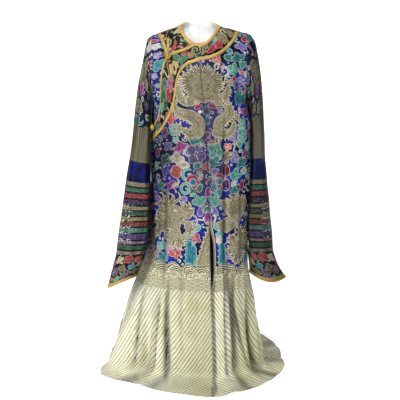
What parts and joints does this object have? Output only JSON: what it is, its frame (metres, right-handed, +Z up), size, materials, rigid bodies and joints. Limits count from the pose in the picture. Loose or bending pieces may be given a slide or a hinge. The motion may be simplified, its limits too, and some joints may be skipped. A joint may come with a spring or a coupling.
{
  "type": "chinese dragon robe",
  "caption": "Full-length silk dragon robe in a hollow worn form, with a crossed front, ball buttons, banded sleeves, horse-hoof cuffs and a wave-bordered hem.",
  "frame": {"origin": "the middle of the neck opening, where the wearer's neck and shoulders hold the robe up; the hem lies on a floor 1.275 m below", "axes": "+Z up, -Y out of the front, +X to the wearer's left"},
  "size_m": [0.7057, 0.688, 1.2987],
  "materials": {
    "brocade": "navy-blue silk satin with woven clouds, dragons and a striped wave border, soft sheen",
    "blue_silk": "plain royal-blue silk, soft sheen",
    "striped_silk": "silk pieced in narrow coloured bands, soft sheen",
    "facing_silk": "black silk with coloured flowers and clouds",
    "gold_braid": "gold-thread braid, dull metallic sheen",
    "gilt": "worn gilt brass"
  },
  "bodies": {
    "root": {"body_right_front": "brocade", "body_right_back": "brocade", "body_left_front": "brocade", "body_left_back": "brocade", "front_overlap": "brocade", "sleeve_right_upper": "brocade", "sleeve_left_upper": "brocade", "sleeve_right_band": "blue_silk", "sleeve_left_band": "blue_silk", "sleeve_right_lower": "striped_silk", "sleeve_left_lower": "striped_silk", "cuff_right": "facing_silk", "cuff_left": "facing_silk", "cuff_right_binding": "gold_braid", "cuff_left_binding": "gold_braid", "neck_binding": "gold_braid", "neck_facing": "facing_silk", "neck_facing_edge": "gold_braid", "lapel_edge": "gold_braid", "lapel_facing": "facing_silk", "lapel_facing_edge": "gold_braid", "button_collar": "gilt", "loop_collar": "gold_braid", "button_side": "gilt", "loop_side": "gold_braid", "tab_up": "gold_braid", "tab_down_a": "gold_braid", "tab_down_b": "gold_braid"}
  },
  "joints": []
}
